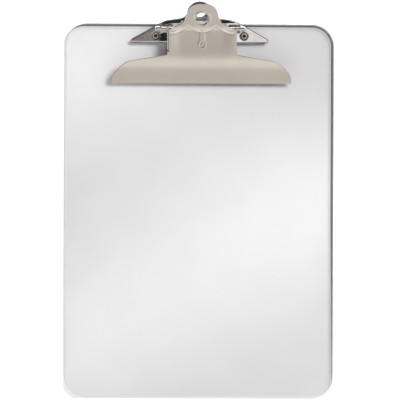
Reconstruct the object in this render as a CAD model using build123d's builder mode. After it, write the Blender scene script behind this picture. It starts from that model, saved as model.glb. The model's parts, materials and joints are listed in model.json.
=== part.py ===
from build123d import *
from math import asin, atan2, cos, degrees, pi, radians, sin, sqrt, tan
import os

# A letter-size clipboard with a spring clip, lying on its back.
# Millimetres. The origin is the centre of the board's back face, +Z is out of the board's front,
# and +Y runs up the board, towards the clip. The clip is symmetric about X = 0, except that its
# top plate has slid along the pin to the right, as far as top_plate_shift says.

os.makedirs("parts", exist_ok=True)

# Board
board_width = 228.6
board_length = 317.5
board_thickness = 4.0
board_corner_radius = 19.0
board_edge_radius = 1.85

# Pressed sheet steel of both levers
sheet = 0.9

# Hinge: the pin's axis runs along X through (hinge_y, hinge_z)
hinge_y = 154.3
hinge_z = 12.0
pin_radius = 1.6
pin_play = 0.05            # radial, between the pin and the top plate's ears
press_play = 0.02          # radial, between the pin and the base plate's ears
pin_head_radius = 2.1
pin_end_x = 38.3

# Rivets, one each side, through the base plate and the board
rivet_x = 37.4
rivet_y = 148.5
rivet_shank_radius = 1.75
rivet_bore_radius = 1.15
rivet_bore_floor_z = 2.4
rivet_roll_radius = 2.5
rivet_roll_height = 1.0
rivet_roll_lip = 0.2       # how far the rolled end's lip curls into the bore
rivet_head_radius = 4.3
rivet_head_thickness = 1.1
rivet_head_sink = 0.2      # how far the head lies inside the board's back face
rivet_play = 0.05

# Base plate: a shallow pressed tray, open underneath, with its rim on the board
tray_height = 3.0
tray_edge_radius = 0.8
front_edge_y = 142.6
wing_point = (63.4, front_edge_y)
shoulder_point = (29.3, 161.9)
neck_point = (0, 166.0)    # where the two shoulder lines would meet, inside the tab
wing_tip_radius = 1.9
shoulder_radius = 8.0
waist_radius = 6.0
waist_margin = 0.5         # the waist's corners are further up than the shoulders by more than this
rear_tab_y = 166.9
rear_tab_radius = 11.2
rear_hole_y = 170.2
dimple_radius = 4.2
dimple_floor_radius = 3.0
base_ear_inner_x = 33.1
base_ear_radius = 3.4
base_ear_low_y = 151.3
base_ear_high_y = 158.1
base_window_inner_x = 24.0
base_window_length = 6.8
base_window_y = 154.7
base_window_corner = 1.0

# Top plate: its upper surface, seen from the side, from the jaw's lip to the thumb tab's end
lip_y = 108.1
lip_gap = 0.15
jaw_angle = 42.0
jaw_radius = 43.3
body_angle = 4.0
body_end_y = 151.5
tab_angle = 26.0
tab_bend_radius = 14.0
tab_end_y = 174.7
jaw_half_width = 76.15
body_half_width = 29.5
wing_corner = (jaw_half_width, 114.0)
wing_shoulder = (65.4, 126.1)
neck_corner = (body_half_width, 132.2)
body_corner = (body_half_width, 152.9)
tab_corner = (15.4, 158.9)
tab_shoulder = (11.1, 175.6)
top_outline_radii = [9, 16, 1.3, 2.5, 9, 10.3]
top_plate_shift = 1.4      # side play taken up along the pin
front_hole_y = 162.2
top_ear_radius = 4.2
top_ear_front_y = 135.9
top_ear_front_depth = 4.5

# Hang holes, the same size in both tabs
hang_hole_radius = 5.5
ring_outer_radius = 7.6
ring_height = 0.45

# Torsion spring, wound round the pin
wire_radius = 0.75
coil_radius = 2.6
coil_pitch = 1.6
coil_turns = 8
low_leg_end_y = 167.0
high_leg_end_y = 165.0
leg_gap = 0.1

board_front = board_thickness
tray_top = board_front + tray_height


def heading(angle):
    """A unit vector in the side view, at an angle in degrees above +Y."""
    return Vector(cos(radians(angle)), sin(radians(angle)))


# ---------------------------------------------------------------- board
with BuildPart() as board:
    with BuildSketch():
        RectangleRounded(board_width, board_length, board_corner_radius)
    extrude(amount=board_thickness)
    rims = board.faces().sort_by(Axis.Z)
    fillet(rims[0].edges() + rims[-1].edges(), radius=board_edge_radius)
    with Locations((-rivet_x, rivet_y), (rivet_x, rivet_y)):
        Hole(radius=rivet_shank_radius + rivet_play)
        Cylinder(
            radius=rivet_head_radius + rivet_play,
            height=rivet_head_sink + rivet_head_thickness,
            align=(Align.CENTER, Align.CENTER, Align.MIN),
            mode=Mode.SUBTRACT,
        )
board.part.label = "board"
export_step(board.part, "parts/board.step")


# ---------------------------------------------------------------- base plate
def base_outline(inset=0.0):
    """The base plate's plan as a face, drawn in by inset all round."""
    with BuildSketch() as outline:
        with BuildLine():
            right = FilletPolyline(
                (0, front_edge_y), wing_point, shoulder_point, neck_point,
                radius=[wing_tip_radius, shoulder_radius],
            )
            Line(right @ 1, right @ 0)
        make_face()
        mirror(about=Plane.YZ)
        with Locations((0, rear_tab_y)):
            Circle(rear_tab_radius)
        waists = outline.vertices().filter_by(
            lambda v: v.Y > shoulder_point[1] + waist_margin and abs(v.X) < shoulder_point[0] / 2
        )
        fillet(waists, radius=waist_radius)
        if inset:
            offset(amount=-inset, kind=Kind.INTERSECTION, mode=Mode.REPLACE)
    return outline.sketch


with BuildPart() as base_plate:
    with BuildSketch(Plane.XY.offset(board_front)):
        add(base_outline())
    extrude(amount=tray_height)
    fillet(base_plate.faces().sort_by(Axis.Z)[-1].edges(), radius=tray_edge_radius)
    with BuildSketch(Plane.XY.offset(board_front)):
        add(base_outline(inset=sheet))
    extrude(amount=tray_height - sheet, mode=Mode.SUBTRACT)

    # The dimples that carry the plate on the board under each rivet
    with Locations((-rivet_x, rivet_y, board_front), (rivet_x, rivet_y, board_front)):
        Cone(
            bottom_radius=dimple_floor_radius + sheet,
            top_radius=dimple_radius + sheet,
            height=tray_height - sheet / 2,
            align=(Align.CENTER, Align.CENTER, Align.MIN),
        )
    with Locations((-rivet_x, rivet_y, board_front + sheet), (rivet_x, rivet_y, board_front + sheet)):
        Cone(
            bottom_radius=dimple_floor_radius,
            top_radius=dimple_radius,
            height=tray_height - sheet,
            align=(Align.CENTER, Align.CENTER, Align.MIN),
            mode=Mode.SUBTRACT,
        )
    with Locations((-rivet_x, rivet_y, tray_top), (rivet_x, rivet_y, tray_top)):
        Hole(radius=rivet_shank_radius + rivet_play)

    # The upturned ears that hold the pin
    for side in (-1, 1):
        with BuildSketch(Plane.YZ.offset(side * base_ear_inner_x)):
            with Locations((hinge_y, hinge_z)):
                Circle(base_ear_radius)
            foot_z = tray_top - sheet / 2
            with BuildLine():
                Line((base_ear_low_y, foot_z), (base_ear_high_y, foot_z))
            make_hull()
            with Locations((hinge_y, hinge_z)):
                Circle(pin_radius + press_play, mode=Mode.SUBTRACT)
        extrude(amount=side * sheet)

        # The window that each ear was bent up from
        with BuildSketch(Plane.XY.offset(tray_top)):
            with Locations((side * (base_window_inner_x + base_ear_inner_x) / 2, base_window_y)):
                RectangleRounded(
                    base_ear_inner_x - base_window_inner_x, base_window_length, base_window_corner
                )
        extrude(amount=-2 * sheet, mode=Mode.SUBTRACT)

    with Locations((0, rear_hole_y, tray_top)):
        Hole(radius=hang_hole_radius)
base_plate.part.label = "base_plate"
export_step(base_plate.part, "parts/base_plate.step")


# ---------------------------------------------------------------- top plate
with BuildLine() as side_line:
    jaw = JernArc(
        start=(lip_y, board_front + lip_gap + sheet * cos(radians(jaw_angle))),
        tangent=heading(jaw_angle),
        radius=jaw_radius,
        arc_size=body_angle - jaw_angle,
    )
    body_rise = (body_end_y - (jaw @ 1).X) * tan(radians(body_angle))
    body = Line(jaw @ 1, jaw @ 1 + Vector(body_end_y - (jaw @ 1).X, body_rise))
    tab_bend = JernArc(
        start=body @ 1,
        tangent=heading(body_angle),
        radius=tab_bend_radius,
        arc_size=tab_angle - body_angle,
    )
    tab_rise = (tab_end_y - (tab_bend @ 1).X) * tan(radians(tab_angle))
    tab = Line(tab_bend @ 1, tab_bend @ 1 + Vector(tab_end_y - (tab_bend @ 1).X, tab_rise))
top_plate_height = (tab @ 1).Y + ring_height


def body_height(y):
    """Height of the top plate's upper surface on its straight body."""
    return (body @ 0).Y + (y - (body @ 0).X) * tan(radians(body_angle))


def tab_height(y):
    """Height of the top plate's upper surface on its straight thumb tab."""
    return (tab @ 0).Y + (y - (tab @ 0).X) * tan(radians(tab_angle))


with BuildPart() as centred_plate:
    # The pressed sheet, the same section right across, cut to its plan
    with BuildSketch(Plane.YZ):
        with BuildLine():
            add(side_line.line)
            offset(amount=sheet, side=Side.RIGHT, mode=Mode.REPLACE)
        make_face()
    extrude(amount=jaw_half_width, both=True)
    with BuildSketch():
        with BuildLine():
            right = FilletPolyline(
                (jaw_half_width, lip_y - sheet), wing_corner, wing_shoulder, neck_corner,
                body_corner, tab_corner, tab_shoulder, (0, tab_shoulder[1]),
                radius=top_outline_radii,
            )
            Polyline(right @ 1, (0, lip_y - sheet), right @ 0)
        make_face()
        mirror(about=Plane.YZ)
    extrude(amount=top_plate_height, mode=Mode.INTERSECT)

    # The bent-down ears on the pin
    for side in (-1, 1):
        with BuildSketch(Plane.YZ.offset(side * (body_half_width - sheet))):
            with Locations((hinge_y, hinge_z)):
                Circle(top_ear_radius)
            with BuildLine():
                Polyline(
                    (top_ear_front_y, body_height(top_ear_front_y) - top_ear_front_depth),
                    (top_ear_front_y, body_height(top_ear_front_y) - sheet / 2),
                    (body_end_y, body_height(body_end_y) - sheet / 2),
                )
            make_hull()
            with Locations((hinge_y, hinge_z)):
                Circle(pin_radius + pin_play, mode=Mode.SUBTRACT)
        extrude(amount=side * sheet)

    # The hang hole, square to the tab, in its raised ring
    tab_plane = Plane(
        origin=(0, front_hole_y, tab_height(front_hole_y)),
        x_dir=(1, 0, 0),
        z_dir=(0, -sin(radians(tab_angle)), cos(radians(tab_angle))),
    )
    with BuildSketch(tab_plane):
        Circle(ring_outer_radius)
    extrude(amount=ring_height)
    with Locations(tab_plane):
        Hole(radius=hang_hole_radius)

with BuildPart() as top_plate:
    with Locations((top_plate_shift, 0, 0)):
        add(centred_plate.part)
top_plate.part.label = "top_plate"
export_step(top_plate.part, "parts/top_plate.step")


# ---------------------------------------------------------------- hinge pin
pin_head_start = base_ear_inner_x + sheet
with BuildPart() as hinge_pin:
    with BuildSketch(Plane.YZ.offset(-pin_end_x)):
        with Locations((hinge_y, hinge_z)):
            Circle(pin_radius)
    extrude(amount=2 * pin_end_x)
    for side in (-1, 1):
        with BuildSketch(Plane.YZ.offset(side * pin_head_start)):
            with Locations((hinge_y, hinge_z)):
                Circle(pin_head_radius)
        extrude(amount=side * (pin_end_x - pin_head_start))
    ends = hinge_pin.faces().sort_by(Axis.X)
    fillet(ends[0].edges() + ends[-1].edges(), radius=pin_head_radius / 2)
hinge_pin.part.label = "hinge_pin"
export_step(hinge_pin.part, "parts/hinge_pin.step")


# ---------------------------------------------------------------- rivets
rivet_seat_z = board_front + sheet
roll_radius = rivet_roll_height / 2
roll_start_x = rivet_roll_radius - roll_radius
with BuildPart() as rivet:
    with BuildSketch(Plane.XZ.offset(-rivet_y)):
        with BuildLine():
            Polyline(
                (0, rivet_head_sink),
                (rivet_head_radius, rivet_head_sink),
                (rivet_head_radius, rivet_head_sink + rivet_head_thickness),
                (rivet_shank_radius, rivet_head_sink + rivet_head_thickness),
                (rivet_shank_radius, rivet_seat_z),
                (roll_start_x, rivet_seat_z),
            )
            roll = ThreePointArc(
                (roll_start_x, rivet_seat_z),
                (rivet_roll_radius, rivet_seat_z + roll_radius),
                (roll_start_x, rivet_seat_z + rivet_roll_height),
            )
            lip = ThreePointArc(
                roll @ 1,
                (rivet_bore_radius + rivet_roll_lip, rivet_seat_z + rivet_roll_height - rivet_roll_lip),
                (rivet_bore_radius, rivet_seat_z + roll_radius),
            )
            Polyline(
                lip @ 1,
                (rivet_bore_radius, rivet_bore_floor_z),
                (0, rivet_bore_floor_z),
                (0, rivet_head_sink),
            )
        make_face()
    revolve(axis=Axis((0, rivet_y, 0), (0, 0, 1)))
with BuildPart() as rivets:
    with Locations((-rivet_x, 0, 0), (rivet_x, 0, 0)):
        add(rivet.part)
rivets.part.label = "rivets"
export_step(rivets.part, "parts/rivets.step")


# ---------------------------------------------------------------- torsion spring
low_leg_end = Vector(low_leg_end_y, tray_top + wire_radius + leg_gap)
tab_underside_drop = (sheet + wire_radius) / cos(radians(tab_angle)) + leg_gap
high_leg_end = Vector(high_leg_end_y, tab_height(high_leg_end_y) - tab_underside_drop)
hinge = Vector(hinge_y, hinge_z)


def leg_start(end, side):
    """Where a straight leg to end leaves the coil, above (side 1) or below (side -1) the pin."""
    reach = end - hinge
    slope = degrees(atan2(reach.Y, reach.X)) - side * degrees(asin(coil_radius / reach.length))
    return hinge + heading(slope + side * 90) * coil_radius


low_start = leg_start(low_leg_end, -1)
high_start = leg_start(high_leg_end, 1)
low_angle = degrees(atan2(low_start.Y - hinge_z, low_start.X - hinge_y))
high_angle = degrees(atan2(high_start.Y - hinge_z, high_start.X - hinge_y))
turns = coil_turns + (low_angle - high_angle) % 360 / 360
coil_length = coil_pitch * turns
coil_start = Plane(
    origin=(-coil_length / 2, hinge_y, hinge_z),
    x_dir=(0, cos(radians(low_angle)), sin(radians(low_angle))),
    z_dir=(1, 0, 0),
)
slant = coil_pitch / (2 * pi * coil_radius)
low_leg_length = (low_leg_end - low_start).length * sqrt(1 + slant**2)
high_leg_length = (high_leg_end - high_start).length * sqrt(1 + slant**2)

coil = coil_start.location * Helix(coil_pitch, coil_length, coil_radius, lefthand=True)
with BuildPart() as torsion_spring:
    with BuildSketch(Plane(origin=coil @ 0, z_dir=coil % 0)):
        Circle(wire_radius)
    sweep(path=coil, is_frenet=True)
    with BuildSketch(Plane(origin=coil @ 0, z_dir=-(coil % 0))):
        Circle(wire_radius)
    extrude(amount=low_leg_length)
    with BuildSketch(Plane(origin=coil @ 1, z_dir=coil % 1)):
        Circle(wire_radius)
    extrude(amount=high_leg_length)
torsion_spring.part.label = "torsion_spring"
export_step(torsion_spring.part, "parts/torsion_spring.step")
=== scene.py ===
import json
from math import asin, atan2, ceil, cos, degrees, pi, radians, sin, sqrt, tan

import bpy
import numpy as np
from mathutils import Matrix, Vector
from mathutils.geometry import delaunay_2d_cdt
from mathutils.kdtree import KDTree


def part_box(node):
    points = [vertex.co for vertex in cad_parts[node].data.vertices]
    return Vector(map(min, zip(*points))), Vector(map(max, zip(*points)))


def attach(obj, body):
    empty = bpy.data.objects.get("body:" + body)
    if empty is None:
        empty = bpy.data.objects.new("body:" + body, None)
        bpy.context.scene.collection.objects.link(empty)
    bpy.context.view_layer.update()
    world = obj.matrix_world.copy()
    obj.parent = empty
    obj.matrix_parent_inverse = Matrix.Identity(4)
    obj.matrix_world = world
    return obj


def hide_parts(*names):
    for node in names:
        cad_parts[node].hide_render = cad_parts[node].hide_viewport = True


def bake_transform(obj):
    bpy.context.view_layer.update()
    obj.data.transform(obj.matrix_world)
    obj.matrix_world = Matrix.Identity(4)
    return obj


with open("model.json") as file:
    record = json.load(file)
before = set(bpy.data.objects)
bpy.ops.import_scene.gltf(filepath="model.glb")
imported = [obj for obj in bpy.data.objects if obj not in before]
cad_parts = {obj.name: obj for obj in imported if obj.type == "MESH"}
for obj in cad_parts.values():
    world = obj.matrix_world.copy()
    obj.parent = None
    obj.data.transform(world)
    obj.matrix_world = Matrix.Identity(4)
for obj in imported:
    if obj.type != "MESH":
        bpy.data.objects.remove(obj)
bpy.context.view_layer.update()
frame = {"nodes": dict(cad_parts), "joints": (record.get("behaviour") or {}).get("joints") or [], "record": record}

# The meshes are worked out in millimetres, like the CAD, and scaled to metres when they are made.
MM = 0.001

scene = bpy.context.scene
nodes = frame["nodes"]


def box_mm(node):
    """A CAD node's lowest and highest corners, in millimetres."""
    low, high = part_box(node)
    return low / MM, high / MM


# ---------------------------------------------------------------- places taken from the frame
_, board_high = box_mm("board")
top_low, top_high = box_mm("top_plate")
base_low, _ = box_mm("base_plate")
rivets_low, rivets_high = box_mm("rivets")
HINGE = Vector(frame["joints"][0]["pos_m"]) / MM
MOUNTS = {mount["name"]: Vector(mount["pos_m"]) / MM for mount in frame["record"]["mounts"]}
FRONT_HOLE = MOUNTS["front_hang_hole"]
REAR_HOLE = MOUNTS["rear_hang_hole"]
BOARD_FRONT = board_high.z
BOARD_CORNER = 19.0

# ---------------------------------------------------------------- pressed sheet, as in the CAD
SHEET = 0.9
TRAY_TOP = BOARD_FRONT + 3.0
HANG_HOLE_RADIUS = 5.5

# Top plate
PLATE_SHIFT = FRONT_HOLE.x
JAW_HALF_WIDTH = (top_high.x - top_low.x) / 2
LIP_Y = top_low.y
LIP_GAP = 0.15
JAW_ANGLE = radians(42)
JAW_RADIUS = 43.3
BODY_ANGLE = radians(4)
BODY_END_Y = 151.5
TAB_ANGLE = radians(26)
TAB_BEND_RADIUS = 14.0
BODY_HALF_WIDTH = 29.5
FOLD_RADIUS = 1.4
FOLD_START = BODY_HALF_WIDTH - FOLD_RADIUS
EAR_FRONT_Y = 135.9
EAR_RADIUS = 4.2
TOP_TAB_END_Y = 174.7
TOP_PIN_HOLE_RADIUS = 1.65

# Base plate
FRONT_EDGE_Y = base_low.y
RIM_BEND = 1.4
RIVET_Y = (rivets_low.y + rivets_high.y) / 2
RIVET_HEAD_RADIUS = (rivets_high.y - rivets_low.y) / 2
RIVET_X = rivets_high.x - RIVET_HEAD_RADIUS
REAR_TAB = Vector((0, 166.9))
REAR_TAB_RADIUS = 11.2

# ---------------------------------------------------------------- camera
FRAME_WIDTH = 0.339
LENS, SENSOR = 500.0, 36.0
CAMERA_DISTANCE = FRAME_WIDTH * LENS / SENSOR
CAMERA_ROLL = radians(0.26)
CAMERA_TILT = radians(2.5)         # the camera stands a little to the left of straight overhead
VIEW_CENTRE = Vector((0.8 * MM, 9.5 * MM, BOARD_FRONT * MM))


def make_camera():
    data = bpy.data.cameras.new("camera")
    data.lens = LENS
    data.sensor_width = SENSOR
    data.clip_start = 0.1
    data.clip_end = 4 * CAMERA_DISTANCE
    camera = bpy.data.objects.new("camera", data)
    scene.collection.objects.link(camera)
    camera.rotation_euler = (0, -CAMERA_TILT, CAMERA_ROLL)
    camera.location = VIEW_CENTRE + camera.rotation_euler.to_matrix() @ Vector((0, 0, CAMERA_DISTANCE))
    scene.camera = camera


# ---------------------------------------------------------------- outlines
ARC_STEP = radians(8)


def arc(centre, radius, start, stop):
    """Points along an arc between two angles, both ends included."""
    steps = max(2, ceil(abs(stop - start) / ARC_STEP))
    angles = np.linspace(start, stop, steps + 1)
    return [(centre[0] + radius * cos(a), centre[1] + radius * sin(a)) for a in angles]


def rounded(corners):
    """Points round a closed outline of (x, y, radius) corners."""
    points = []
    for i, (x, y, radius) in enumerate(corners):
        corner = Vector((x, y))
        back = (Vector(corners[i - 1][:2]) - corner).normalized()
        ahead = (Vector(corners[(i + 1) % len(corners)][:2]) - corner).normalized()
        half = back.angle(ahead) / 2
        if radius == 0 or pi / 2 - half < 1e-4:
            points.append((x, y))
            continue
        centre = corner + (back + ahead).normalized() * radius / sin(half)
        first = corner + back * radius / tan(half) - centre
        turn = pi - 2 * half
        left = ahead.cross(back) > 0
        start = atan2(first.y, first.x)
        points += arc(centre, radius, start, start + (turn if left else -turn))
    return points


def mirrored(half):
    """A closed outline from its right half, whose points run anticlockwise up from the Y axis."""
    return half + [(-x, y) for x, y, *_ in reversed(half) if x > 0]


def spaced(points, spacing):
    """The same closed outline with its long straight runs divided."""
    result = []
    for (x0, y0), (x1, y1) in zip(points, points[1:] + points[:1]):
        count = max(1, round(sqrt((x1 - x0) ** 2 + (y1 - y0) ** 2) / spacing))
        result += [(x0 + (x1 - x0) * k / count, y0 + (y1 - y0) * k / count) for k in range(count)]
    loop = np.array(result)
    distinct = np.linalg.norm(loop - np.roll(loop, 1, axis=0), axis=1) > 1e-4
    return loop[distinct]


def turned(loop, anticlockwise):
    """The loop, reversed if it doesn't run the way asked for."""
    x, y = loop.T
    area = np.sum(x * np.roll(y, -1) - np.roll(x, -1) * y)
    return loop if (area > 0) == anticlockwise else loop[::-1]


def outward(loop):
    """At each point of a loop, the unit direction away from the metal."""
    # The shorter of a point's two sides counts for more, so that an arc's ends turn like its middle
    side = np.roll(loop, -1, axis=0) - loop
    side /= np.sum(side**2, axis=1)[:, None]
    along = side + np.roll(side, 1, axis=0)
    along /= np.linalg.norm(along, axis=1)[:, None]
    return np.stack([along[:, 1], -along[:, 0]], axis=1)


def inside(points, loops):
    """For each point, whether it is on the metal: inside the first loop and outside the others."""
    px, py = points.T
    result = np.zeros(len(points), bool)
    for loop in loops:
        for (ax, ay), (bx, by) in zip(loop, np.roll(loop, -1, axis=0)):
            if ay != by:
                result ^= ((ay > py) != (by > py)) & (px < (bx - ax) * (py - ay) / (by - ay) + ax)
    return result


def grid(low, high, spacing):
    """Points of a triangular lattice over a rectangle."""
    rows = np.arange(low[1], high[1], spacing * sqrt(3) / 2)
    columns = np.arange(low[0], high[0], spacing)
    x, y = np.meshgrid(columns, rows)
    x[1::2] += spacing / 2
    return np.stack([x.ravel(), y.ravel()], axis=1)


def fill(loops, lattice, clearance):
    """Triangles over the metal: their points, which start with the loops' own, and their corners."""
    rim = np.concatenate(loops)
    tree = KDTree(len(rim))
    for i, (x, y) in enumerate(rim):
        tree.insert((x, y, 0), i)
    tree.balance()
    kept = [p for p in lattice[inside(lattice, loops)] if tree.find((*p, 0))[2] > clearance]
    points = np.concatenate([rim, np.array(kept)])
    edges = []
    start = 0
    for loop in loops:
        count = len(loop)
        edges += [(start + k, start + (k + 1) % count) for k in range(count)]
        start += count
    _, _, faces, origins, _, _ = delaunay_2d_cdt([Vector(p) for p in points], edges, [], 0, 1e-7)
    order = np.array([origin[0] for origin in origins])
    faces = order[np.array(faces)]
    return points, faces[inside(points[faces].mean(axis=1), loops)]


# ---------------------------------------------------------------- sheet metal
# An edge is a list of steps across the sheet's thickness, from the top face to the underside, each
# (how far outwards, how far down, the normal's part outwards, the normal's part up).
def cut_edge(radius):
    """A sheared edge with its burr rounded off. The loop is drawn in by radius."""
    angles = [radians(a) for a in (30, 60, 90)]
    upper = [(radius * sin(a), radius * (1 - cos(a)), sin(a), cos(a)) for a in angles]
    lower = [(out, SHEET - down, side, -up) for out, down, side, up in reversed(upper)]
    return radius, lambda top: upper + lower


def rolled_edge(bend, foot):
    """An edge turned down to the height foot, with an outer bend radius. The loop is drawn in by bend."""
    angles = [radians(a) for a in range(10, 91, 10)]
    inner = bend - SHEET

    def steps(top):
        depth = top - foot
        outer_bend = [(bend * sin(a), bend * (1 - cos(a)), sin(a), cos(a)) for a in angles]
        half = SHEET / 2
        ends = [radians(a) for a in (0, 45, 90, 135, 180)]
        end = [(bend - half + half * cos(a), depth - half + half * sin(a), cos(a), -sin(a)) for a in ends]
        inner_bend = [
            (inner * sin(a), SHEET + inner * (1 - cos(a)), -sin(a), -cos(a)) for a in reversed(angles)
        ]
        return outer_bend + end + inner_bend

    return bend, steps


def make_piece(name, vertices, faces, normals=None):
    mesh = bpy.data.meshes.new(name)
    mesh.from_pydata((np.asarray(vertices) * MM).tolist(), [], faces)
    mesh.validate()
    mesh.shade_smooth()
    if normals is not None:
        lengths = np.linalg.norm(normals, axis=1)[:, None]
        mesh.normals_split_custom_set_from_vertices((normals / lengths).tolist())
    piece = bpy.data.objects.new(name, mesh)
    scene.collection.objects.link(piece)
    return piece


def sheet_mesh(outlines, place, lattice, clearance):
    """Vertices, faces and normals of a sheet. outlines is a list of (loop, edge), the outer one first."""
    loops, edges, outs = [], [], []
    for i, (loop, (draw_in, steps)) in enumerate(outlines):
        loop = turned(loop, anticlockwise=(i == 0))
        outs.append(outward(loop))
        loops.append(loop - outs[-1] * draw_in)
        edges.append(steps)
    points, triangles = fill(loops, lattice, clearance)
    tiny = 0.01

    def slope(direction):
        return (place(points + direction * tiny) - place(points - direction * tiny)) / (2 * tiny)

    top = place(points)
    up = np.cross(slope(np.array([1.0, 0])), slope(np.array([0, 1.0])))
    up /= np.linalg.norm(up, axis=1)[:, None]
    vertices = [top, top - up * SHEET]
    normals = [up, -up]
    faces = triangles.tolist() + (triangles[:, ::-1] + len(top)).tolist()
    total = 2 * len(top)
    start = 0
    for loop, out, steps in zip(loops, outs, edges):
        count = len(loop)
        here = np.arange(start, start + count)
        start += count
        away = place(loop + out * tiny) - place(loop - out * tiny)
        away -= up[here] * np.sum(away * up[here], axis=1)[:, None]
        away /= np.linalg.norm(away, axis=1)[:, None]
        last = here
        for across, down, side, above in steps(top[here, 2]):
            across, down = [np.broadcast_to(v, count)[:, None] for v in (across, down)]
            vertices.append(top[here] + away * across - up[here] * down)
            normals.append(away * side + up[here] * above)
            ring = np.arange(total, total + count)
            total += count
            faces += np.stack([last, ring, np.roll(ring, -1), np.roll(last, -1)], axis=1).tolist()
            last = ring
        under = here + len(top)
        faces += np.stack([last, under, np.roll(under, -1), np.roll(last, -1)], axis=1).tolist()
    return np.concatenate(vertices), faces, np.concatenate(normals)


def joined(parts):
    """One set of vertices, faces and normals out of several."""
    vertices, faces, normals = [], [], []
    total = 0
    for some_vertices, some_faces, some_normals in parts:
        vertices.append(some_vertices)
        normals.append(some_normals)
        faces += [[corner + total for corner in face] for face in some_faces]
        total += len(some_vertices)
    return np.concatenate(vertices), faces, np.concatenate(normals)


def ease(low, high, value):
    """0 below low, 1 above high and smooth between."""
    t = np.clip((value - low) / (high - low), 0, 1)
    return t * t * (3 - 2 * t)


# ---------------------------------------------------------------- top plate
# The side line's arcs: their centres, and where each stretch ends
jaw_centre = (LIP_Y + JAW_RADIUS * sin(JAW_ANGLE),
              BOARD_FRONT + LIP_GAP + (SHEET - JAW_RADIUS) * cos(JAW_ANGLE))
jaw_end = (jaw_centre[0] - JAW_RADIUS * sin(BODY_ANGLE), jaw_centre[1] + JAW_RADIUS * cos(BODY_ANGLE))
body_end = (BODY_END_Y, jaw_end[1] + (BODY_END_Y - jaw_end[0]) * tan(BODY_ANGLE))
bend_centre = (body_end[0] - TAB_BEND_RADIUS * sin(BODY_ANGLE),
               body_end[1] + TAB_BEND_RADIUS * cos(BODY_ANGLE))
bend_end = (bend_centre[0] + TAB_BEND_RADIUS * sin(TAB_ANGLE),
            bend_centre[1] - TAB_BEND_RADIUS * cos(TAB_ANGLE))


def side_line(y):
    """Height and slope angle of the top plate's upper face, before it is embossed."""
    on_jaw = np.clip(jaw_centre[0] - y, 0, JAW_RADIUS)
    on_bend = np.clip(y - bend_centre[0], 0, TAB_BEND_RADIUS)
    stretches = [y < jaw_end[0], y < BODY_END_Y, y < bend_end[0]]
    height = np.select(
        stretches,
        [
            jaw_centre[1] + np.sqrt(JAW_RADIUS**2 - on_jaw**2),
            jaw_end[1] + (y - jaw_end[0]) * tan(BODY_ANGLE),
            bend_centre[1] - np.sqrt(TAB_BEND_RADIUS**2 - on_bend**2),
        ],
        bend_end[1] + (y - bend_end[0]) * tan(TAB_ANGLE),
    )
    angle = np.select(
        stretches,
        [np.arcsin(on_jaw / JAW_RADIUS), np.full_like(y, BODY_ANGLE), np.arcsin(on_bend / TAB_BEND_RADIUS)],
        TAB_ANGLE,
    )
    return height, angle


# Two panels of the body are pressed in, either side of a shallower stem. Their upper ends make a line
# like a gull's wings: a low point by the stem, a peak, and a long fall to the side.
GULL_X = [0, 4.5, 8.7, 11.0, 12.6, 15.0, 19.0, 23.0, 28.5]
GULL_Y = [151.6, 152.7, 155.2, 156.7, 156.7, 155.0, 152.4, 150.9, 150.4]
EMBOSS = 0.36
EMBOSS_FLANK = 1.5
STEM_RISE = 0.08
PANEL_FRONT_Y = 124.0       # the face sinks gently from here back to the gull line, which lifts it again
PANEL_EASE = 26.0
PANEL_SIDE_FADE = 11.0      # the embossing fades out over this much beside each fold
STEM_HALF_WIDTH = 2.3
STAKE_Y = 140.9
STAKE_RADIUS = 3.5
STAKE_GROOVE = 0.07
RING_RADIUS = 7.4
RING_HEIGHT = 0.45


def gull_line(x):
    fine = np.arange(-32, 32, 0.25)
    line = np.interp(np.abs(fine), GULL_X, GULL_Y)
    window = np.hanning(11)
    line = np.convolve(np.pad(line, 5, mode="edge"), window / window.sum(), mode="valid")
    return np.interp(x, fine, line)


def above_gull(x, y):
    """Distance of a point of the top plate above the gull line."""
    tiny = 0.1
    lean = (gull_line(x + tiny) - gull_line(x - tiny)) / (2 * tiny)
    return (y - gull_line(x)) / np.sqrt(1 + lean**2)


def emboss(x, y):
    """How far the pressing lifts the top plate's face, or sinks it if less than 0."""
    above_line = above_gull(x, y)
    flank = EMBOSS_FLANK / 2
    lift = EMBOSS * (ease(-flank, flank, above_line) - ease(PANEL_FRONT_Y, PANEL_FRONT_Y + PANEL_EASE, y))
    from_stake = np.hypot(x, y - STAKE_Y)
    on_stem = np.maximum(np.minimum(STEM_HALF_WIDTH - np.abs(x), y - STAKE_Y), STAKE_RADIUS - from_stake)
    lift += STEM_RISE * ease(-flank, flank, on_stem) * ease(0.5, -1.5, above_line)
    # The stake: a round groove with a button in its middle
    lift -= STAKE_GROOVE * ease(2.9, 2.0, from_stake) * ease(0.4, 1.4, from_stake)
    lift *= ease(FOLD_START, FOLD_START - PANEL_SIDE_FADE, np.abs(x))
    from_hole = np.hypot(x, (y - FRONT_HOLE.y) / cos(TAB_ANGLE))
    return lift + RING_HEIGHT * ease(RING_RADIUS + 0.6, RING_RADIUS - 0.6, from_hole)


EAR_END_Y = BODY_END_Y + 1  # past this line the ears keep one direction, and don't follow the tab's bend


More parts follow.
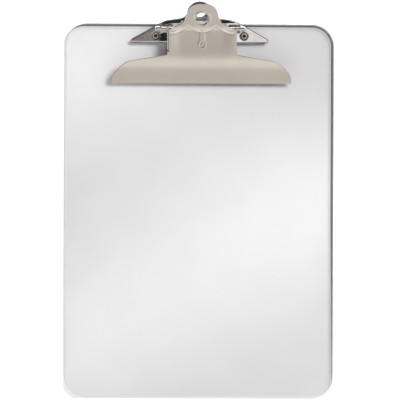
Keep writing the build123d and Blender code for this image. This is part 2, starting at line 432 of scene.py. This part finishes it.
def place_top_plate(points):
    """From the flat blank to the pressed plate. Past the fold line, the ears turn down."""
    a, b = points.T
    folded = np.where(b > EAR_FRONT_Y - 0.8, np.clip(np.abs(a) - FOLD_START, 0, None), 0)
    y = np.where(folded > 0, np.minimum(b, EAR_END_Y), b)
    z, angle = side_line(y)
    up = np.stack([np.zeros_like(a), -np.sin(angle), np.cos(angle)], axis=1)
    along = np.stack([np.zeros_like(a), np.cos(angle), np.sin(angle)], axis=1)
    turn = np.minimum(folded / FOLD_RADIUS, pi / 2)
    x = np.where(folded > 0, np.sign(a) * (FOLD_START + FOLD_RADIUS * np.sin(turn)), a)
    drop = FOLD_RADIUS * (1 - np.cos(turn)) + np.clip(folded - FOLD_RADIUS * pi / 2, 0, None)
    base = np.stack([x + PLATE_SHIFT, y, z], axis=1)
    past = ((b - y) / np.cos(angle))[:, None]
    return base + along * past + up * (emboss(a, b) * (folded == 0) - drop)[:, None]


def on_ear(depth):
    """Distance from the middle of the blank of a line that ends up this deep below the body's face."""
    return FOLD_START + FOLD_RADIUS * (pi / 2 - 1) + depth


def make_top_plate():
    # The hinge's place on the blank's ear
    z, angle = [value[0] for value in side_line(np.array([EAR_END_Y]))]
    to_hinge = Vector((HINGE.y - EAR_END_Y, HINGE.z - z))
    hinge_depth = to_hinge.dot(Vector((sin(angle), -cos(angle))))
    hinge_b = EAR_END_Y + cos(angle) * to_hinge.dot(Vector((cos(angle), sin(angle))))
    bottom = hinge_depth + EAR_RADIUS
    corners = [
        (0, LIP_Y, 0),
        (JAW_HALF_WIDTH, LIP_Y, 0.7),
        (JAW_HALF_WIDTH, 114.0, 9),
        (65.4, 126.1, 16),
        (BODY_HALF_WIDTH, 132.2, 1.3),
        (BODY_HALF_WIDTH, EAR_FRONT_Y - 0.9, 0.5),
        (FOLD_START - 0.3, EAR_FRONT_Y - 0.6, 0.15),
        (FOLD_START - 0.3, EAR_FRONT_Y, 0.15),
        (on_ear(4.5), EAR_FRONT_Y, 1.5),
        (on_ear(bottom), hinge_b - 2.5, EAR_RADIUS),
        (on_ear(bottom), hinge_b + EAR_RADIUS, EAR_RADIUS),
        (on_ear(1.2), hinge_b + EAR_RADIUS - 0.3, 3.5),
        (FOLD_START + 0.4, 153.3, 0.8),
        (15.4, 158.9, 9),
        (11.1, TOP_TAB_END_Y, 9.9),
        (0, TOP_TAB_END_Y, 0),
    ]
    corners += [(-x, y, radius) for x, y, radius in reversed(corners) if x > 0]
    outline = spaced(rounded(corners), 0.7)
    hole_plan = [(x, FRONT_HOLE.y + y * cos(TAB_ANGLE)) for x, y in arc((0, 0), HANG_HOLE_RADIUS, 0, 2 * pi)]
    pin_holes = [
        spaced(arc((side * on_ear(hinge_depth), hinge_b), TOP_PIN_HOLE_RADIUS, 0, 2 * pi)[:-1], 0.5)
        for side in (-1, 1)
    ]
    outlines = [(outline, cut_edge(0.28)), (spaced(hole_plan[:-1], 0.5), cut_edge(0.2))]
    outlines += [(hole, cut_edge(0.15)) for hole in pin_holes]
    # The lattice is finer where the plate is embossed and folded
    top_y = TOP_TAB_END_Y + 1.3
    fine_x, fine_y = 42, 137.5
    coarse = grid((-JAW_HALF_WIDTH, LIP_Y), (JAW_HALF_WIDTH, top_y), 1.0)
    in_body = (np.abs(coarse[:, 0]) < fine_x) & (coarse[:, 1] > fine_y)
    fine = grid((-fine_x, fine_y), (fine_x, top_y), 0.42)
    lattice = np.concatenate([coarse[~in_body], fine])
    piece = make_piece("nickel_top_plate", *sheet_mesh(outlines, place_top_plate, lattice, 0.3))
    # A painted highlight along the gull line's flank and painted shade at its foot, except in the very middle
    x, y, _ = np.array([vertex.co for vertex in piece.data.vertices]).T / MM
    x -= PLATE_SHIFT
    above_line = above_gull(x, y)
    flank = 0.85 * np.exp(-(((above_line - 0.1) / 0.75) ** 2))
    foot = 0.35 * np.exp(-(((above_line + 1.5) / 0.6) ** 2))
    off_middle = np.abs(x) > 1.2
    painted_flank_light_foot_shade = (flank - foot) * ease(FOLD_START + 0.5, FOLD_START - 1.5, np.abs(x)) * off_middle
    piece.data.attributes.new("painted_flank_light_foot_shade", "FLOAT", "POINT").data.foreach_set("value", painted_flank_light_foot_shade)
    return piece


# ---------------------------------------------------------------- base plate
DIMPLE_RADIUS = 3.8
DIMPLE_FLOOR_RADIUS = 2.6
REAR_SINK_RADIUS = 8.2
REAR_SINK_DEPTH = 0.6
CROWN_START_X = 22.0        # the plate is level this far out, and then falls away to its wing tips
CROWN_KNEE_X = 36.0
CROWN_STEP = 1.0
CROWN_FALL_X = 30.0
CROWN_FALL = 0.04
RIDGE_Y = 161.3             # the middle slopes up to this line, and down from FALL_Y on
RIDGE_SLOPE = 0.049
FALL_Y = 161.8
FALL_SLOPE = 0.10
SHOULDER_FALL_Y = 159.6
SHOULDER_FALL_SLOPE = 0.15


def base_height(x, y):
    """Height of the base plate's upper face."""
    out = np.abs(x)
    face = TRAY_TOP - CROWN_STEP * ease(CROWN_START_X, CROWN_KNEE_X, out)
    face = face - CROWN_FALL * np.clip(out - CROWN_FALL_X, 0, None)
    # The middle rises to a low ridge behind the hinge, and the rear tab falls away behind the ridge
    face = face - RIDGE_SLOPE * ease(17, 9, out) * np.clip(RIDGE_Y - y, 0, None)
    face = face - FALL_SLOPE * ease(CROWN_KNEE_X, CROWN_START_X - 6, out) * np.clip(y - FALL_Y, 0, None)
    # Each shoulder falls away too
    on_shoulder = ease(15, 21, out) * ease(37, 31, out)
    face = face - SHOULDER_FALL_SLOPE * on_shoulder * np.clip(y - SHOULDER_FALL_Y, 0, None)
    # The metal is sunk along the hang hole's front side, and down to the board round each rivet
    sunk = ease(REAR_SINK_RADIUS, HANG_HOLE_RADIUS, np.hypot(x, y - REAR_HOLE.y))
    face = face - REAR_SINK_DEPTH * sunk * ease(REAR_HOLE.y + 1, REAR_HOLE.y - 3, y)
    floor = BOARD_FRONT + SHEET
    from_rivet = np.hypot(out - RIVET_X, y - RIVET_Y)
    return face + (floor - face) * ease(DIMPLE_RADIUS + 0.2, DIMPLE_FLOOR_RADIUS, from_rivet)


def place_base_plate(points):
    x, y = points.T
    return np.stack([x, y, base_height(x, y)], axis=1)


def base_outline():
    """The base plate's outline: two wings, and a round tab that meets each wing in a waist."""
    waist = 6.0
    shoulder = Vector((29.3, 161.9))
    neck = Vector((0, 166.0))
    along = (neck - shoulder).normalized()
    normal = Vector((along.y, -along.x))
    if normal.y < 0:
        normal = -normal
    # The waist's centre is waist away from the shoulder line and REAR_TAB_RADIUS + waist from the tab's
    offset = shoulder + normal * waist - REAR_TAB
    half_b = offset.dot(along)
    reach = -half_b - sqrt(half_b**2 - offset.length_squared + (REAR_TAB_RADIUS + waist) ** 2)
    centre = REAR_TAB + offset + along * reach
    to_line = atan2(-normal.y, -normal.x)
    to_tab = atan2(REAR_TAB.y - centre.y, REAR_TAB.x - centre.x)
    corners = rounded([(0, FRONT_EDGE_Y, 0), (63.4, FRONT_EDGE_Y, 1.9), (*shoulder, 8), (*neck, 0)])[:-1]
    waist_arc = arc(centre, waist, to_line, to_tab - 2 * pi if to_tab > to_line else to_tab)
    tab_arc = arc(REAR_TAB, REAR_TAB_RADIUS, to_tab + pi, pi / 2)
    return spaced(mirrored(corners + waist_arc + tab_arc[1:]), 0.7)


EAR_INNER_X = 33.1
BASE_EAR_RADIUS = 3.4
BASE_PIN_HOLE_RADIUS = 1.62
WINDOW_CORNERS = [(24.4, 151.3), (32.9, 151.3), (32.9, 158.1), (24.4, 158.1)]
RIVET_HOLE_RADIUS = 1.8


def base_ear(side):
    """An upturned ear, which stands on the outer edge of its window."""
    foot = TRAY_TOP - 1.3
    corners = [
        (HINGE.y - 4.0, foot, 0),
        (HINGE.y + 4.6, foot, 0),
        (HINGE.y + 3.7, HINGE.z - 3.0, 4),
        (HINGE.y + BASE_EAR_RADIUS, HINGE.z + BASE_EAR_RADIUS, BASE_EAR_RADIUS - 0.1),
        (HINGE.y - BASE_EAR_RADIUS, HINGE.z + BASE_EAR_RADIUS, BASE_EAR_RADIUS - 0.1),
        (HINGE.y - 3.6, HINGE.z - 3.0, 4),
    ]

    def place(points):
        y, z = points.T
        x = side * (EAR_INNER_X + (SHEET if side > 0 else 0)) + np.zeros_like(y)
        return np.stack([x, y, z], axis=1)

    outline = spaced(rounded(corners), 0.5)
    pin_hole = spaced(arc((HINGE.y, HINGE.z), BASE_PIN_HOLE_RADIUS, 0, 2 * pi)[:-1], 0.4)
    lattice = grid((HINGE.y - 5, foot), (HINGE.y + 5, HINGE.z + 4), 0.8)
    return sheet_mesh([(outline, cut_edge(0.2)), (pin_hole, cut_edge(0.12))], place, lattice, 0.35)


def make_base_plate():
    outlines = [(base_outline(), rolled_edge(RIM_BEND, BOARD_FRONT + 0.02))]
    hole = arc(REAR_HOLE, HANG_HOLE_RADIUS, 0, 2 * pi)[:-1]
    outlines.append((spaced(hole, 0.5), cut_edge(0.3)))
    for side in (-1, 1):
        window = [(x * side, y, 1.0) for x, y in WINDOW_CORNERS]
        outlines.append((spaced(rounded(window), 0.5), cut_edge(0.2)))
        rivet_hole = arc((side * RIVET_X, RIVET_Y), RIVET_HOLE_RADIUS, 0, 2 * pi)[:-1]
        outlines.append((spaced(rivet_hole, 0.4), cut_edge(0.15)))
    # The lattice covers the whole outline, and is finer round the rivets' dimples
    low, high = (-64, FRONT_EDGE_Y), (64, 179)
    dimple_reach = 4.5
    coarse, fine = [grid(low, high, spacing) for spacing in (0.6, 0.3)]
    near, far = [np.hypot(np.abs(p[:, 0]) - RIVET_X, p[:, 1] - RIVET_Y) for p in (fine, coarse)]
    lattice = np.concatenate([coarse[far > dimple_reach], fine[near < dimple_reach]])
    plate = sheet_mesh(outlines, place_base_plate, lattice, 0.35)
    return make_piece("bright_base_plate", *joined([plate, base_ear(-1), base_ear(1)]))


# ---------------------------------------------------------------- torsion spring
WIRE_RADIUS = 0.75
COIL_RADIUS = 2.6
COIL_PITCH = 1.6
COIL_TURNS = 8
LEG_GAP = 0.1
LOW_LEG_END = Vector((167.0, TRAY_TOP + WIRE_RADIUS + LEG_GAP))
HIGH_LEG_Y = 165.0
STEPS_PER_TURN = 28
LEG_STEPS = 8


def leg_start(end, side):
    """The angle about the hinge at which a straight leg to end leaves the coil, above (1) or below (-1)."""
    reach = end - HINGE.yz
    return atan2(reach.y, reach.x) - side * asin(COIL_RADIUS / reach.length) + side * pi / 2


def make_spring():
    tab_face = float(side_line(np.array([HIGH_LEG_Y]))[0][0])
    high_end = Vector((HIGH_LEG_Y, tab_face - (SHEET + WIRE_RADIUS) / cos(TAB_ANGLE) - LEG_GAP))
    low_angle, high_angle = leg_start(LOW_LEG_END, -1), leg_start(high_end, 1)
    sweep = 2 * pi * COIL_TURNS + (low_angle - high_angle) % (2 * pi)
    length = COIL_PITCH * sweep / (2 * pi)

    def at(angle, x):
        return Vector((x, HINGE.y + COIL_RADIUS * cos(angle), HINGE.z + COIL_RADIUS * sin(angle)))

    steps = ceil(sweep / (2 * pi) * STEPS_PER_TURN)
    coil = [at(low_angle - sweep * k / steps, -length / 2 + length * k / steps) for k in range(steps + 1)]
    low_leg = Vector((-length / 2, *LOW_LEG_END))
    high_leg = Vector((length / 2, *high_end))
    path = [low_leg.lerp(coil[0], k / LEG_STEPS) for k in range(LEG_STEPS)] + coil
    path += [coil[-1].lerp(high_leg, k / LEG_STEPS) for k in range(1, LEG_STEPS + 1)]
    curve = bpy.data.curves.new("spring_wire", "CURVE")
    curve.dimensions = "3D"
    spline = curve.splines.new("POLY")
    spline.points.add(len(path) - 1)
    for point, place in zip(spline.points, path):
        point.co = (*(place * MM), 1)
    curve.bevel_depth = WIRE_RADIUS * MM
    curve.bevel_resolution = 5
    curve.use_fill_caps = True
    wire = bpy.data.objects.new("spring_wire", curve)
    mesh = bpy.data.meshes.new_from_object(wire)
    bpy.data.objects.remove(wire)
    mesh.shade_smooth()
    spring = bpy.data.objects.new("wound_spring", mesh)
    scene.collection.objects.link(spring)
    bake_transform(spring)
    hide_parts("torsion_spring")
    return spring


# ---------------------------------------------------------------- node helpers
class Nodes:
    """Adds nodes to a node tree and links them, so that a material reads top to bottom."""

    def __init__(self, tree):
        self.tree = tree

    def add(self, kind, settings=None, **inputs):
        node = self.tree.nodes.new("ShaderNode" + kind)
        for name, value in (settings or {}).items():
            setattr(node, name, value)
        for name, value in inputs.items():
            self.put(node.inputs[name.replace("_", " ")], value)
        return node

    def put(self, socket, value):
        if isinstance(value, bpy.types.NodeSocket):
            self.tree.links.new(value, socket)
        else:
            socket.default_value = value

    def math(self, operation, *values):
        node = self.add("Math", {"operation": operation})
        for socket, value in zip(node.inputs, values):
            self.put(socket, value)
        return node.outputs[0]

    def ramp(self, value, low, high, start=0.0, end=1.0, smooth=True):
        """Maps value from low..high to start..end, and stops there."""
        kind = "SMOOTHSTEP" if smooth else "LINEAR"
        node = self.add("MapRange", {"interpolation_type": kind})
        for name, number in (("From Min", low), ("From Max", high), ("To Min", start), ("To Max", end)):
            node.inputs[name].default_value = number
        self.put(node.inputs["Value"], value)
        return node.outputs["Result"]

    def noise(self, scale, detail=2.0, stretch=(1, 1, 1)):
        """Noise in the object's own space, in metres; stretch divides its size along each axis."""
        where = self.add("TexCoord").outputs["Object"]
        scaled = self.add("VectorMath", {"operation": "MULTIPLY"})
        self.put(scaled.inputs[0], where)
        self.put(scaled.inputs[1], stretch)
        node = self.add("TexNoise", Scale=scale, Detail=detail, Vector=scaled.outputs[0])
        return node.outputs["Fac"]

    def mix(self, factor, first, second):
        node = self.add("Mix", {"data_type": "RGBA"})
        self.put(node.inputs["Factor"], factor)
        self.put(node.inputs[6], first)
        self.put(node.inputs[7], second)
        return node.outputs[2]


def make_material(name):
    material = bpy.data.materials.new(name)
    material.use_nodes = True
    tree = material.node_tree
    return material, Nodes(tree), tree.nodes["Principled BSDF"]


# ---------------------------------------------------------------- world
ZENITH_STRIPES = 0.047       # spacing of the soft stripes straight overhead, as a direction's length
ZENITH_STRIPE_TURN = radians(29)
ZENITH_STRIPE_SHIFT = 0.0112
ZENITH_STRIPE_STRENGTH = 0.54


def make_world():
    world = bpy.data.worlds.new("studio")
    scene.world = world
    world.use_nodes = True
    n = Nodes(world.node_tree)
    where = n.add("SeparateXYZ", Vector=n.add("TexCoord").outputs["Generated"])
    x, y, z = [where.outputs[axis] for axis in "XYZ"]

    def towards(azimuth, off_zenith, inner, outer, strength):
        """A round soft light of that strength, within inner degrees of its direction, gone at outer."""
        tilt, turn = radians(off_zenith), radians(azimuth)
        aim = n.add("VectorMath", {"operation": "DOT_PRODUCT"})
        n.put(aim.inputs[0], n.add("TexCoord").outputs["Generated"])
        n.put(aim.inputs[1], (sin(tilt) * cos(turn), sin(tilt) * sin(turn), cos(tilt)))
        return n.ramp(aim.outputs["Value"], cos(radians(outer)), cos(radians(inner)), 0.0, strength)

    # The sky is lit on the side of the board's foot. High up its left part is dim, and lower down a
    # brighter band crosses it, which the jaw's curve mirrors.
    dimmed_left = n.math("MAXIMUM", n.ramp(x, -0.36, -0.12, 0.12, 1.0), n.ramp(y, -0.22, -0.34))
    lights = [
        n.math("MULTIPLY", n.ramp(y, -0.035, -0.08, 0.02, 0.67), dimmed_left),
        n.math("MULTIPLY", n.ramp(y, -0.33, -0.27, 1.0, 0.0), n.ramp(y, -0.70, -0.60, 0.0, 0.3)),
        towards(180, 4.2, 2.5, 4.5, 0.24),
        towards(0, 14, 7, 9, 1.0),
        towards(48, 40, 8, 14, 2.2),
    ]
    # Stripes overhead, which only the flat board shows
    across = n.math(
        "ADD",
        n.math("MULTIPLY", n.math("SUBTRACT", x, sin(CAMERA_TILT)), -sin(ZENITH_STRIPE_TURN)),
        n.math("MULTIPLY", y, cos(ZENITH_STRIPE_TURN)),
    )
    turns = n.math("MULTIPLY", n.math("ADD", across, ZENITH_STRIPE_SHIFT), 2 * pi / ZENITH_STRIPES)
    stripes = n.math("MULTIPLY", n.math("ADD", n.math("COSINE", turns), 1.0), ZENITH_STRIPE_STRENGTH)
    lights.append(n.math("MULTIPLY", stripes, towards(0, degrees(CAMERA_TILT), 3.4, 4.6, 1.0)))
    total = lights[0]
    for light in lights[1:]:
        total = n.math("ADD", total, light)
    # An even light low down all round
    total = n.math("MAXIMUM", total, n.ramp(z, 0.8, 0.62, 0.0, 0.55))
    background = world.node_tree.nodes["Background"]
    n.put(background.inputs["Strength"], total)
    background.inputs["Color"].default_value = (1.0, 0.985, 0.965, 1)


def make_lights():
    data = bpy.data.lights.new("key", "AREA")
    data.shape = "SQUARE"
    data.size = 0.6
    data.energy = 27.5
    light = bpy.data.objects.new("key", data)
    scene.collection.objects.link(light)
    azimuth, elevation, distance = radians(42), radians(52), 1.6
    aim = Vector((0, 0.1, 0))
    away = Vector((cos(azimuth) * cos(elevation), sin(azimuth) * cos(elevation), sin(elevation)))
    light.location = aim + distance * away
    light.rotation_mode = "QUATERNION"
    light.rotation_quaternion = away.to_track_quat("Z", "Y")
    light.visible_camera = False
    light.visible_glossy = False


def make_floor():
    reach = 6.0
    mesh = bpy.data.meshes.new("floor")
    corners = [(-reach, -reach, 0), (reach, -reach, 0), (reach, reach, 0), (-reach, reach, 0)]
    mesh.from_pydata(corners, [], [(0, 1, 2, 3)])
    floor = bpy.data.objects.new("floor", mesh)
    scene.collection.objects.link(floor)
    floor.location.z = -0.0002
    material, n, shader = make_material("floor_paper")
    shader.inputs["Base Color"].default_value = (0.96, 0.96, 0.96, 1)
    shader.inputs["Roughness"].default_value = 0.9
    shader.inputs["Specular IOR Level"].default_value = 0.1
    # The paper glows round the board, as on a light table, so that no shadow shows beyond the board
    where = n.add("SeparateXYZ", Vector=n.add("TexCoord").outputs["Object"])
    beyond = [
        n.math("SUBTRACT", n.math("ABSOLUTE", where.outputs[axis]), size * MM)
        for axis, size in (("X", board_high.x), ("Y", board_high.y))
    ]
    glow = n.ramp(n.math("MAXIMUM", *beyond), 0.0, 0.002, 0.0, 0.9)
    shader.inputs["Emission Color"].default_value = (1, 1, 1, 1)
    n.put(shader.inputs["Emission Strength"], glow)
    mesh.materials.append(material)


# ---------------------------------------------------------------- materials
def nickel_plate():
    """Satin nickel plate: warm grey, slightly cloudy, with fine drawing marks."""
    material, n, shader = make_material("nickel_plate")
    cloud = n.ramp(n.noise(28, 3), 0.3, 0.7)
    grain = n.noise(900, 3, stretch=(0.25, 1, 1))
    plate = n.mix(cloud, (0.675, 0.615, 0.555, 1), (0.705, 0.655, 0.597, 1))
    # Painted shade: the sheared edges that face towards the back are painted dark and less metallic
    facing = n.add("SeparateXYZ", Vector=n.add("TexCoord").outputs["Normal"])
    backwards, upwards = facing.outputs["Y"], facing.outputs["Z"]
    sheared = n.math("MULTIPLY", n.ramp(backwards, 0.15, 0.4), n.ramp(upwards, -0.2, 0.0))
    # A painted highlight along the gull line's flank, and painted shade at its foot
    painted_flank_light_foot_shade = n.add("Attribute", {"attribute_name": "painted_flank_light_foot_shade"}).outputs["Fac"]
    plate = n.mix(painted_flank_light_foot_shade, plate, (0.93, 0.88, 0.82, 1))
    plate = n.mix(n.math("MULTIPLY", painted_flank_light_foot_shade, -1.0), plate, (0.4, 0.36, 0.32, 1))
    # Painted shade on the faces turned downwards
    painted_underside_shade = n.ramp(upwards, 0.1, -0.1)
    plate = n.mix(painted_underside_shade, plate, (0.12, 0.115, 0.11, 1))
    n.put(shader.inputs["Base Color"], n.mix(sheared, plate, (0.07, 0.06, 0.055, 1)))
    n.put(shader.inputs["Metallic"], n.math("SUBTRACT", 1.0, sheared))
    shader.inputs["Specular IOR Level"].default_value = 0.1
    n.put(shader.inputs["Roughness"], n.ramp(grain, 0.25, 0.75, 0.21, 0.27, smooth=False))
    bump = n.add("Bump", Height=n.noise(1500, 4, stretch=(0.3, 1, 1)), Strength=0.02, Distance=0.0001)
    n.put(shader.inputs["Normal"], bump.outputs["Normal"])
    return material


def bright_plate():
    """Bright nickel plate: a mirror with soft waves from the press, and a yellow cast at the tips."""
    material, n, shader = make_material("bright_plate")
    where = n.add("SeparateXYZ", Vector=n.add("TexCoord").outputs["Object"])
    out = n.math("ABSOLUTE", where.outputs["X"])
    tips = n.math("MULTIPLY", n.ramp(out, 0.051, 0.057), n.ramp(n.noise(160, 2), 0.4, 0.6))
    clean = n.mix(n.ramp(n.noise(60, 3), 0.3, 0.7), (0.72, 0.72, 0.73, 1), (0.80, 0.80, 0.795, 1))
    tipped = n.mix(tips, clean, (0.84, 0.76, 0.60, 1))
    # The dimples round the rivets are darker, in patches
    from_rivet = n.math("SQRT", n.math("ADD", *[
        n.math("POWER", n.math("SUBTRACT", value, middle * MM), 2.0)
        for value, middle in ((out, RIVET_X), (where.outputs["Y"], RIVET_Y))
    ]))
    patchy = n.ramp(n.noise(500, 3), 0.3, 0.6, 0.5, 1.0)
    dimple_darkening = n.math("MULTIPLY", n.ramp(from_rivet, 0.0042, 0.0034), patchy)
    tipped = n.mix(dimple_darkening, tipped, (0.42, 0.38, 0.35, 1))
    # Painted shade: where the rim is bent over towards the back, it is painted dark and less metallic
    facing = n.add("SeparateXYZ", Vector=n.add("TexCoord").outputs["Normal"])
    painted_bent_rim_shade = n.math("MULTIPLY", n.ramp(facing.outputs["Z"], 0.93, 0.8), n.ramp(facing.outputs["Y"], 0.05, 0.3))
    n.put(shader.inputs["Base Color"], n.mix(painted_bent_rim_shade, tipped, (0.02, 0.02, 0.02, 1)))
    n.put(shader.inputs["Metallic"], n.math("SUBTRACT", 1.0, painted_bent_rim_shade))
    shader.inputs["Specular IOR Level"].default_value = 0.1
    n.put(shader.inputs["Roughness"], n.ramp(n.noise(220, 3), 0.3, 0.75, 0.07, 0.16, smooth=False))
    bump = n.add("Bump", Height=n.noise(260, 2), Strength=0.2, Distance=0.0002)
    n.put(shader.inputs["Normal"], bump.outputs["Normal"])
    return material


def pin_steel():
    material, n, shader = make_material("pin_steel")
    shader.inputs["Metallic"].default_value = 1.0
    marks = n.noise(1400, 3, stretch=(0.05, 1, 1))
    steel = n.mix(n.ramp(marks, 0.3, 0.7), (0.66, 0.65, 0.62, 1), (0.76, 0.75, 0.72, 1))
    n.put(shader.inputs["Base Color"], steel)
    n.put(shader.inputs["Roughness"], n.ramp(marks, 0.25, 0.75, 0.16, 0.28, smooth=False))
    bump = n.add("Bump", Height=marks, Strength=0.12, Distance=0.00005)
    n.put(shader.inputs["Normal"], bump.outputs["Normal"])
    return material


def spring_steel():
    material, n, shader = make_material("spring_steel")
    shader.inputs["Metallic"].default_value = 1.0
    oil = n.ramp(n.noise(500, 3), 0.35, 0.65)
    n.put(shader.inputs["Base Color"], n.mix(oil, (0.30, 0.30, 0.32, 1), (0.42, 0.415, 0.41, 1)))
    n.put(shader.inputs["Roughness"], n.ramp(n.noise(1800, 3), 0.3, 0.7, 0.24, 0.38, smooth=False))
    bump = n.add("Bump", Height=n.noise(2600, 2), Strength=0.1, Distance=0.00005)
    n.put(shader.inputs["Normal"], bump.outputs["Normal"])
    return material


def rivet_steel():
    """Plated rivets, dark brown down their bores."""
    material, n, shader = make_material("rivet_steel")
    shader.inputs["Metallic"].default_value = 1.0
    where = n.add("SeparateXYZ", Vector=n.add("TexCoord").outputs["Object"])
    out = n.math("SUBTRACT", n.math("ABSOLUTE", where.outputs["X"]), RIVET_X * MM)
    up = n.math("SUBTRACT", where.outputs["Y"], RIVET_Y * MM)
    from_axis = n.math("SQRT", n.math("ADD", n.math("POWER", out, 2.0), n.math("POWER", up, 2.0)))
    bore_darkening = n.ramp(from_axis, 0.0011, 0.0017, 1.0, 0.0)
    plate = n.mix(n.ramp(n.noise(700, 3), 0.3, 0.7), (0.60, 0.55, 0.50, 1), (0.70, 0.66, 0.61, 1))
    n.put(shader.inputs["Base Color"], n.mix(bore_darkening, plate, (0.10, 0.065, 0.055, 1)))
    n.put(shader.inputs["Roughness"], n.ramp(n.noise(900, 3), 0.3, 0.7, 0.2, 0.34, smooth=False))
    bump = n.add("Bump", Height=n.noise(1200, 3), Strength=0.15, Distance=0.0001)
    n.put(shader.inputs["Normal"], bump.outputs["Normal"])
    return material


def clear_acrylic():
    """Clear polished acrylic. Its flat faces mirror a little, and its rounded rim has painted grey shade."""
    material, n, shader = make_material("clear_acrylic")
    tree = material.node_tree
    shader.inputs["Metallic"].default_value = 1.0
    shader.inputs["Base Color"].default_value = (0.97, 0.97, 0.98, 1)
    shader.inputs["Roughness"].default_value = 0.02
    where = n.add("SeparateXYZ", Vector=n.add("TexCoord").outputs["Object"])
    # How far each point is past the centre of its corner, and so how far in from the rim
    past, facing = [], []
    for axis, size in (("X", board_high.x), ("Y", board_high.y)):
        value = where.outputs[axis]
        inner = (size - BOARD_CORNER) * MM
        distance = n.math("MAXIMUM", n.math("SUBTRACT", n.math("ABSOLUTE", value), inner), 0.0)
        past.append(distance)
        facing.append(n.math("MULTIPLY", n.math("SIGN", value), distance))
    reach = n.math("SQRT", n.math("ADD", n.math("POWER", past[0], 2.0), n.math("POWER", past[1], 2.0)))
    inwards = n.math("SUBTRACT", BOARD_CORNER * MM, reach)
    # The painted grey shade of the rim is widest along the top and the right side, and it narrows towards the foot
    upper_right = n.math("DIVIDE", n.math("ADD", *facing), n.math("MAXIMUM", reach, 0.001))
    width = n.ramp(upper_right, 0.0, 1.0, 0.0004, 0.0022, smooth=False)
    width = n.math("MULTIPLY", width, n.ramp(where.outputs["Y"], -0.15, 0.0, 0.45, 1.15, smooth=False))
    past_rim = n.math("SUBTRACT", inwards, width)
    # Painted shade: the band along the rim is tinted grey
    rim = n.ramp(past_rim, -0.0003, 0.0002, 1.0, 0.0)
    beside_rim = n.ramp(past_rim, 0.0002, 0.0013, 1.0, 0.0)
    # A painted glint: the sheet is clearer just inside the rim towards the upper right
    glint = n.math("MULTIPLY", beside_rim, n.ramp(upper_right, 0.3, 0.8))
    clear = n.add("BsdfTransparent")
    haze = n.ramp(n.noise(30, 2), 0.3, 0.7)
    body = n.mix(haze, (0.924, 0.924, 0.926, 1), (0.931, 0.931, 0.933, 1))
    # Painted shade: the sheet is a little greyer towards its upper right corner
    corner = n.math("ADD", where.outputs["X"], n.math("MULTIPLY", where.outputs["Y"], 2.0))
    body = n.mix(n.ramp(corner, 0.1, 0.38), body, (0.885, 0.885, 0.887, 1))
    body = n.mix(glint, body, (0.985, 0.985, 0.985, 1))
    n.put(clear.inputs["Color"], n.mix(rim, body, (0.52, 0.52, 0.535, 1)))
    upright = n.add("SeparateXYZ", Vector=n.add("TexCoord").outputs["Normal"]).outputs["Z"]
    gloss = n.ramp(n.math("ABSOLUTE", upright), 0.7, 0.999, 0.12, 0.08)
    both = n.add("MixShader")
    n.put(both.inputs[0], gloss)
    n.put(both.inputs[1], clear.outputs[0])
    n.put(both.inputs[2], shader.outputs[0])
    n.put(tree.nodes["Material Output"].inputs["Surface"], both.outputs[0])
    return material


def dress(piece, material):
    piece.data.materials.clear()
    piece.data.materials.append(material)


make_camera()
make_world()
make_lights()
make_floor()

top_plate = make_top_plate()
dress(top_plate, nickel_plate())
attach(top_plate, "jaw")
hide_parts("top_plate")

base_plate = make_base_plate()
dress(base_plate, bright_plate())
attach(base_plate, "base")
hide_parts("base_plate")

dress(make_spring(), spring_steel())
for node, material in (("board", clear_acrylic()), ("hinge_pin", pin_steel()), ("rivets", rivet_steel())):
    nodes[node].material_slots[0].material = material

scene.view_settings.view_transform = "Standard"
